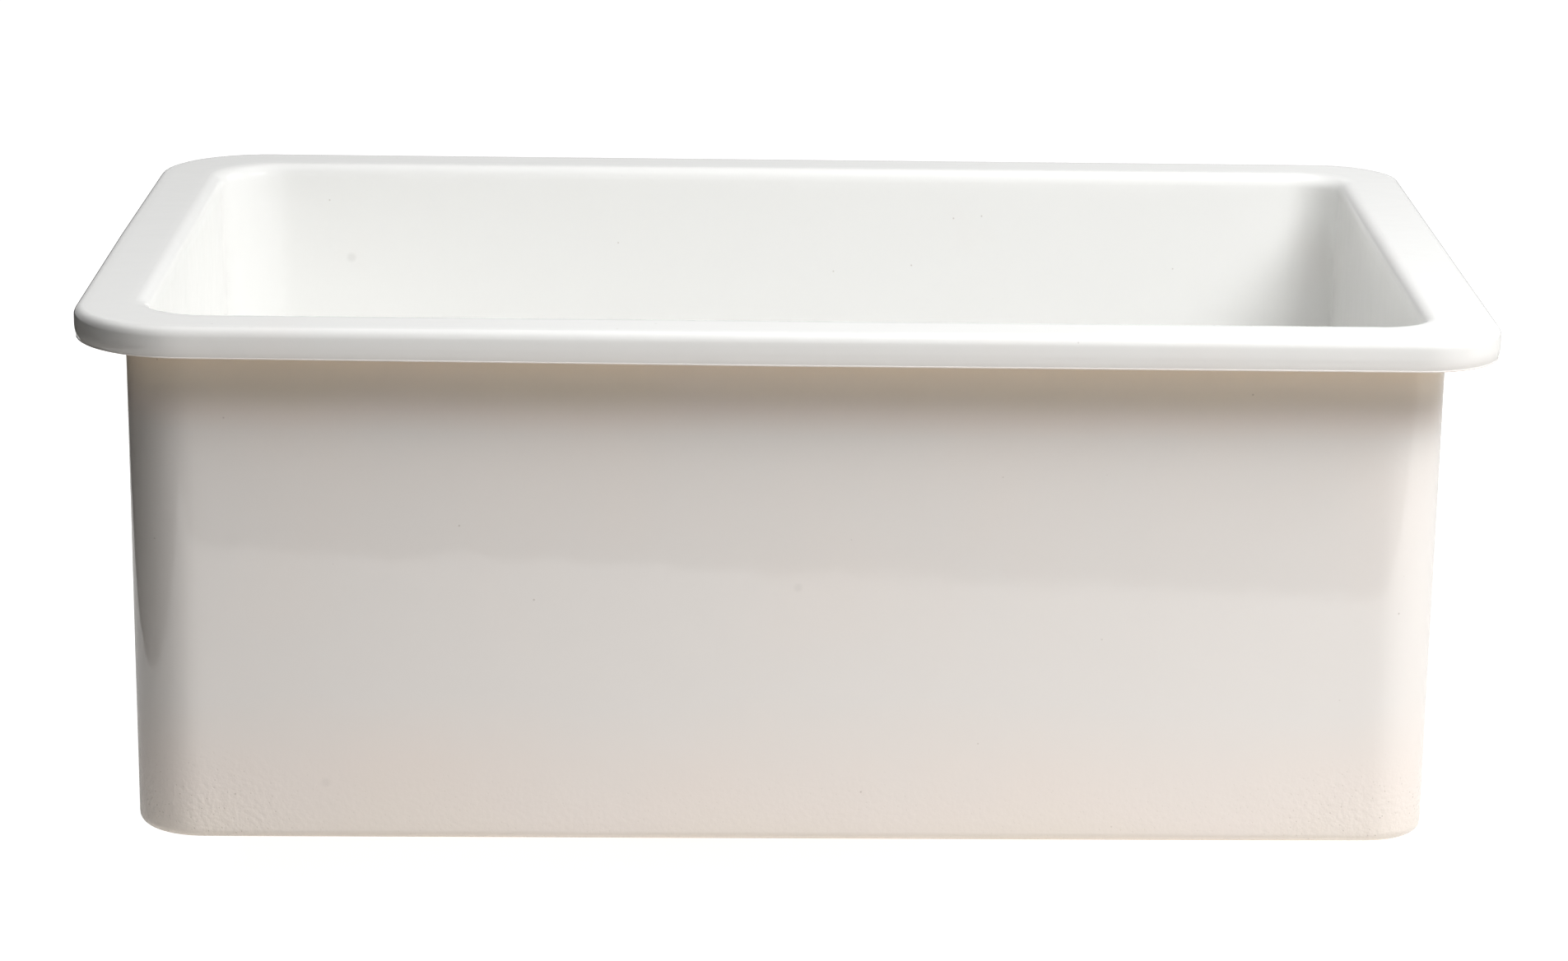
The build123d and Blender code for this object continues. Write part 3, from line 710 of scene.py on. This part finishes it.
def soft_part(name, tint, roughness, grain, depth, variation):
    """A moulded or pressed part: tint drifting by variation, over a grain of that size and depth in
    millimetres."""
    material, tree = new_material(name)
    place = add_node(tree, "ShaderNodeTexCoord").outputs["Object"]
    fine = add_node(tree, "ShaderNodeTexNoise", {
        "Vector": place, "Scale": per(grain * MM), "Detail": 4.0})
    broad = add_node(tree, "ShaderNodeTexNoise", {"Vector": place, "Scale": per(BLOTCH), "Detail": 2.0})
    shade = add_node(tree, "ShaderNodeMapRange", {
        "Value": broad.outputs["Fac"], "To Min": 1 - variation, "To Max": 1 + variation})
    tinted = add_node(tree, "ShaderNodeVectorMath", {0: tint[:3], "Scale": shade.outputs[0]},
                      operation="SCALE")
    normal = add_node(tree, "ShaderNodeBump", {
        "Height": fine.outputs["Fac"], "Distance": depth * MM, "Strength": 1.0})
    surface = add_node(tree, "ShaderNodeBsdfPrincipled", {
        "Base Color": tinted.outputs[0], "Roughness": roughness, "IOR": IOR,
        "Normal": normal.outputs[0]})
    add_node(tree, "ShaderNodeOutputMaterial", {"Surface": surface.outputs[0]})
    return material


FINISHES = {}


def finish(name):
    """The material of that name, made once."""
    colours = bpy.context.scene.sink_colours
    if name not in FINISHES:
        if name in METALS:
            tint, *numbers = METALS[name]
            FINISHES[name] = metal(name, getattr(colours, tint), *numbers)
        elif name in SOFT_PARTS:
            tint, *numbers = SOFT_PARTS[name]
            FINISHES[name] = soft_part(name, getattr(colours, tint), *numbers)
        else:
            FINISHES[name] = glazed_fireclay(colours)
    return FINISHES[name]


# Operators, one for each piece or group of like pieces

class SINK_OT_casting(bpy.types.Operator):
    """Makes the glazed casting"""
    bl_idname = "sink.casting"
    bl_label = "Casting"

    def execute(self, context):
        points, attributes = casting_points(context.scene.sink_casting, cast_high.z - cast_low.z)
        mesh = closed_mesh("glazed_casting", points, attributes)
        piece("glazed_casting", mesh, finish("glazed_fireclay"), "sink",
              ["sink_bowl"])
        return {"FINISHED"}


class SINK_OT_strainer(bpy.types.Operator):
    """Finishes the strainer's cup, its seal and its tail, and cuts their threads"""
    bl_idname = "sink.strainer"
    bl_label = "Strainer"

    def execute(self, context):
        finished_copy("strainer_cup", "strainer_body", finish("drawn_stainless"))
        finished_copy("foam_seal", "flange_seal", finish("cell_foam"))
        finished_copy("brass_tail", "tail_nipple", finish("cast_brass"))
        s = context.scene.sink_threads
        points = thread_points(s.cup_radius, s.cup_pitch, s.cup_depth,
                               cup_low.z + s.cup_plain, nut_low.z + s.nut_cover)
        piece("cup_thread", closed_mesh("cup_thread", points), finish("drawn_stainless"), "sink")
        points = thread_points(s.tail_radius, s.tail_pitch, s.tail_depth,
                               tail_low.z + s.tail_plain, tail_high.z - s.tail_neck)
        piece("tail_thread", closed_mesh("tail_thread", points), finish("cast_brass"), "sink")
        return {"FINISHED"}


class SINK_OT_fastening(bpy.types.Operator):
    """Finishes the gaskets, washers and nuts below the floor"""
    bl_idname = "sink.fastening"
    bl_label = "Fastening"

    def execute(self, context):
        finished_copy("rubber_gasket", "under_gasket", finish("moulded_rubber"))
        finished_copy("fibre_washer", "friction_washer", finish("vulcanised_fibre"))
        finished_copy("brass_lock_nut", "lock_nut", finish("cast_brass"))
        finished_copy("tapered_washer", "slip_washer", finish("polyethylene"))
        finished_copy("hexagon_nut", "coupling_nut", finish("plated_brass"))
        return {"FINISHED"}


class SINK_OT_basket(bpy.types.Operator):
    """Finishes the basket with its bushing and ring"""
    bl_idname = "sink.basket"
    bl_label = "Basket"

    def execute(self, context):
        finished_copy("perforated_basket", "basket", finish("drawn_stainless"))
        finished_copy("turned_bushing", "hub_bushing", finish("polished_stainless"))
        finished_copy("spring_ring", "detent_ring", finish("polished_stainless"))
        return {"FINISHED"}


class SINK_OT_stem(bpy.types.Operator):
    """Finishes the stem with its knob and stopper"""
    bl_idname = "sink.stem"
    bl_label = "Stem"

    def execute(self, context):
        finished_copy("turned_stem", "stem", finish("polished_stainless"))
        finished_copy("finger_knob", "stem_knob", finish("polished_stainless"))
        finished_copy("steel_backing", "backing_plate", finish("drawn_stainless"))
        finished_copy("rubber_stopper", "stopper", finish("moulded_rubber"))
        finished_copy("steel_clip", "retaining_clip", finish("drawn_stainless"))
        return {"FINISHED"}


# Soft boxes: degrees to the right of the front and above the sink, metres away, width, height, watts,
# and whether gloss shows them
LAMPS = (
    ("key_box", 42, 53, 1.75, 1.5, 0.62, 20.8, False),
    ("low_key_box", 42, 43, 1.75, 1.3, 0.50, 10.2, False),
    ("right_box", 62, 44, 1.8, 0.9, 0.70, 6.35, True),
    ("left_back_box", -138, 48, 1.8, 0.9, 0.90, 7.0, False),
    ("right_back_box", 130, 30, 1.8, 0.9, 0.90, 4.3, True),
)
CAMERA_REACH = 50  # metres


def add_lamp(name, around, up, away, width, height, watts, mirrored):
    """A soft box that faces the middle of the sink and that the camera doesn't see."""
    lamp = bpy.data.lights.new(name, "AREA")
    lamp.shape = "RECTANGLE"
    lamp.size, lamp.size_y = width, height
    lamp.energy = watts
    box = bpy.data.objects.new(name, lamp)
    side, rise = radians(around), radians(up)
    out = Vector((sin(side) * cos(rise), -cos(side) * cos(rise), sin(rise)))
    middle = Vector((0, 0, cast_low.z / 2))
    box.location = middle + out * away
    box.rotation_euler = (-out).to_track_quat("-Z", "Y").to_euler()
    box.visible_camera = False
    box.visible_glossy = mirrored
    bpy.context.scene.collection.objects.link(box)


def add_camera(studio):
    """The camera: turned right, pitched down and rolled, in that order, about its own place."""
    data = bpy.data.cameras.new("camera")
    data.lens, data.sensor_width, data.sensor_fit = studio.lens, studio.sensor, "HORIZONTAL"
    data.clip_end = CAMERA_REACH
    turn, pitch, roll = studio.camera_turn, studio.camera_pitch, studio.camera_roll
    level = Vector((sin(turn), cos(turn), 0))
    right = Vector((cos(turn), -sin(turn), 0))
    ahead = level * cos(pitch) - Vector((0, 0, sin(pitch)))
    above = level * sin(pitch) + Vector((0, 0, cos(pitch)))
    across = right * cos(roll) + above * sin(roll)
    upward = above * cos(roll) - right * sin(roll)
    turned = Matrix((across, upward, -ahead)).transposed().to_4x4()
    stand = bpy.data.objects.new("camera", data)
    stand.matrix_world = Matrix.Translation(studio.camera_place) @ turned
    bpy.context.scene.collection.objects.link(stand)
    bpy.context.scene.camera = stand


# Heights in directions of length 1: where the backdrop gives way to the dark band, and the band to
# the ceiling
BAND_RISE = 0.35, 0.55
CEILING_RISE = 0.70, 0.90


def studio_world(studio):
    """White to the camera and a faint light on everything else. Mirrors see a pale backdrop, a dark band
    over it and a bright ceiling."""
    world = bpy.data.worlds.new("studio")
    world.use_nodes = True
    tree = world.node_tree
    tree.nodes.clear()
    ray = add_node(tree, "ShaderNodeLightPath")
    towards = add_node(tree, "ShaderNodeTexCoord").outputs["Generated"]
    rise = add_node(tree, "ShaderNodeSeparateXYZ", {0: towards}).outputs[2]
    band = add_node(tree, "ShaderNodeMapRange", {
        "Value": rise, "From Min": BAND_RISE[0], "From Max": BAND_RISE[1],
        "To Min": studio.backdrop, "To Max": studio.dark_band}, interpolation_type="SMOOTHSTEP")
    ceiling = add_node(tree, "ShaderNodeMapRange", {
        "Value": rise, "From Min": CEILING_RISE[0], "From Max": CEILING_RISE[1],
        "To Max": studio.ceiling}, interpolation_type="SMOOTHSTEP")
    sky = add_node(tree, "ShaderNodeMath", {0: band.outputs[0], 1: ceiling.outputs[0]}, operation="ADD")
    mirror = add_node(tree, "ShaderNodeMapRange", {
        "Value": ray.outputs["Is Glossy Ray"], "To Min": studio.ambient, "To Max": sky.outputs[0]})
    seen = add_node(tree, "ShaderNodeMath", {
        0: ray.outputs["Is Camera Ray"], 1: ray.outputs["Is Transmission Ray"]}, operation="MAXIMUM")
    strength = add_node(tree, "ShaderNodeMath", {0: mirror.outputs[0], 1: seen.outputs[0]},
                        operation="MAXIMUM")
    light = add_node(tree, "ShaderNodeBackground", {
        "Color": (1, 1, 1, 1), "Strength": strength.outputs[0]})
    add_node(tree, "ShaderNodeOutputWorld", {"Surface": light.outputs[0]})
    bpy.context.scene.world = world


FLOOR_REACH = 6.0
FLOOR_GAP = 0.3 * MM  # between the sink's lowest point and the floor
TABLE_EDGE = 10 * MM  # half the width over which the table's edges fade
SHADE_REACH = -100 * MM, 150 * MM  # across the sink's left side, where the table leaves its shadow
# Metres from the sink's middle between which the floor rises from near white to white
WHITE_FROM, WHITE_AT, NEAR_WHITE = 0.5, 1.3, 0.92


def studio_floor(colours, studio):
    """A pale floor, white to the camera but for the sink's soft shadow. To light and in mirrors only the
    table under the sink is pale: past its front and left edges the room is dark. Left of the sink the
    table lies in its shadow and gives less light."""
    material, tree = new_material("studio_floor")
    ray = add_node(tree, "ShaderNodeLightPath")
    place = add_node(tree, "ShaderNodeTexCoord").outputs["Object"]
    parts = add_node(tree, "ShaderNodeSeparateXYZ", {0: place})
    across = add_node(tree, "ShaderNodeMath", {
        0: parts.outputs[0], 1: -tan(studio.table_turn), 2: parts.outputs[1]},
        operation="MULTIPLY_ADD")
    before, beside = (
        add_node(tree, "ShaderNodeMapRange", {
            "Value": value, "From Min": edge - TABLE_EDGE, "From Max": edge + TABLE_EDGE})
        for value, edge in (
            (across.outputs[0], studio.table_front), (parts.outputs[0], studio.table_left))
    )
    table = add_node(tree, "ShaderNodeMath", {0: before.outputs[0], 1: beside.outputs[0]},
                     operation="MULTIPLY")
    lit = add_node(tree, "ShaderNodeMapRange", {
        "Value": parts.outputs[0], "From Min": cad_low.x + SHADE_REACH[0],
        "From Max": cad_low.x + SHADE_REACH[1], "To Max": studio.table_bounce})
    seen = add_node(tree, "ShaderNodeMath", {
        0: ray.outputs["Is Camera Ray"], 1: ray.outputs["Is Transmission Ray"]}, operation="MAXIMUM")
    pale = add_node(tree, "ShaderNodeMath", {0: seen.outputs[0], 1: table.outputs[0]},
                    operation="MAXIMUM")
    tint = add_node(tree, "ShaderNodeMix", {
        FACTOR: pale.outputs[0], FIRST: colours.room, SECOND: colours.floor}, data_type="RGBA")
    matt = add_node(tree, "ShaderNodeBsdfDiffuse", {"Color": tint.outputs[MIXED]})

    away = add_node(tree, "ShaderNodeVectorMath", {0: place}, operation="LENGTH")
    white = add_node(tree, "ShaderNodeMapRange", {
        "Value": away.outputs["Value"], "From Min": WHITE_FROM, "From Max": WHITE_AT,
        "To Min": NEAR_WHITE, "To Max": 1.0})
    camera_glow = add_node(tree, "ShaderNodeMath", {0: seen.outputs[0], 1: white.outputs[0]},
                           operation="MULTIPLY")
    mirror_glow = add_node(tree, "ShaderNodeMath", {
        0: ray.outputs["Is Glossy Ray"], 1: studio.table_glow}, operation="MULTIPLY")
    bounce = add_node(tree, "ShaderNodeMath", {
        0: ray.outputs["Is Diffuse Ray"], 1: lit.outputs[0], 2: mirror_glow.outputs[0]},
        operation="MULTIPLY_ADD")
    glow = add_node(tree, "ShaderNodeMath", {
        0: bounce.outputs[0], 1: table.outputs[0], 2: camera_glow.outputs[0]},
        operation="MULTIPLY_ADD")
    shine = add_node(tree, "ShaderNodeEmission", {"Color": (1, 1, 1, 1), "Strength": glow.outputs[0]})
    both = add_node(tree, "ShaderNodeAddShader", {0: matt.outputs[0], 1: shine.outputs[0]})
    add_node(tree, "ShaderNodeOutputMaterial", {"Surface": both.outputs[0]})

    corners = np.array([(-1, -1), (1, -1), (1, 1), (-1, 1)]) * FLOOR_REACH
    mesh = bpy.data.meshes.new("floor")
    mesh.from_pydata([(*c, cad_low.z - FLOOR_GAP) for c in corners], [], [(0, 1, 2, 3)])
    mesh.materials.append(material)
    floor = bpy.data.objects.new("floor", mesh)
    bpy.context.scene.collection.objects.link(floor)


class SINK_OT_stage(bpy.types.Operator):
    """Sets the floor, the lamps and the camera"""
    bl_idname = "sink.stage"
    bl_label = "Stage"

    def execute(self, context):
        scene = context.scene
        studio_floor(scene.sink_colours, scene.sink_studio)
        studio_world(scene.sink_studio)
        for lamp in LAMPS:
            add_lamp(*lamp)
        add_camera(scene.sink_studio)
        scene.view_settings.view_transform = "Standard"
        return {"FINISHED"}


class SINK_PT_build(bpy.types.Panel):
    """Buttons for each group of pieces, and their sizes and colours"""
    bl_label = "Sink"
    bl_space_type = "VIEW_3D"
    bl_region_type = "UI"
    bl_category = "Sink"

    def draw(self, context):
        for operator in OPERATORS:
            self.layout.operator(operator.bl_idname)
        for name in GROUPS:
            group = getattr(context.scene, name)
            box = self.layout.box()
            for key in group.__annotations__:
                box.prop(group, key)


GROUPS = {
    "sink_casting": SinkCasting,
    "sink_threads": SinkThreads,
    "sink_colours": SinkColours,
    "sink_studio": SinkStudio,
}
OPERATORS = (SINK_OT_casting, SINK_OT_strainer, SINK_OT_fastening, SINK_OT_basket, SINK_OT_stem,
             SINK_OT_stage)


def register():
    for name, group in GROUPS.items():
        bpy.utils.register_class(group)
        setattr(bpy.types.Scene, name, PointerProperty(type=group))
    for made in (*OPERATORS, SINK_PT_build):
        bpy.utils.register_class(made)


def unregister():
    for made in (SINK_PT_build, *reversed(OPERATORS)):
        bpy.utils.unregister_class(made)
    for name, group in GROUPS.items():
        delattr(bpy.types.Scene, name)
        bpy.utils.unregister_class(group)


def main():
    register()
    bpy.ops.sink.casting()
    bpy.ops.sink.strainer()
    bpy.ops.sink.fastening()
    bpy.ops.sink.basket()
    bpy.ops.sink.stem()
    bpy.ops.sink.stage()


if __name__ == "__main__":
    main()
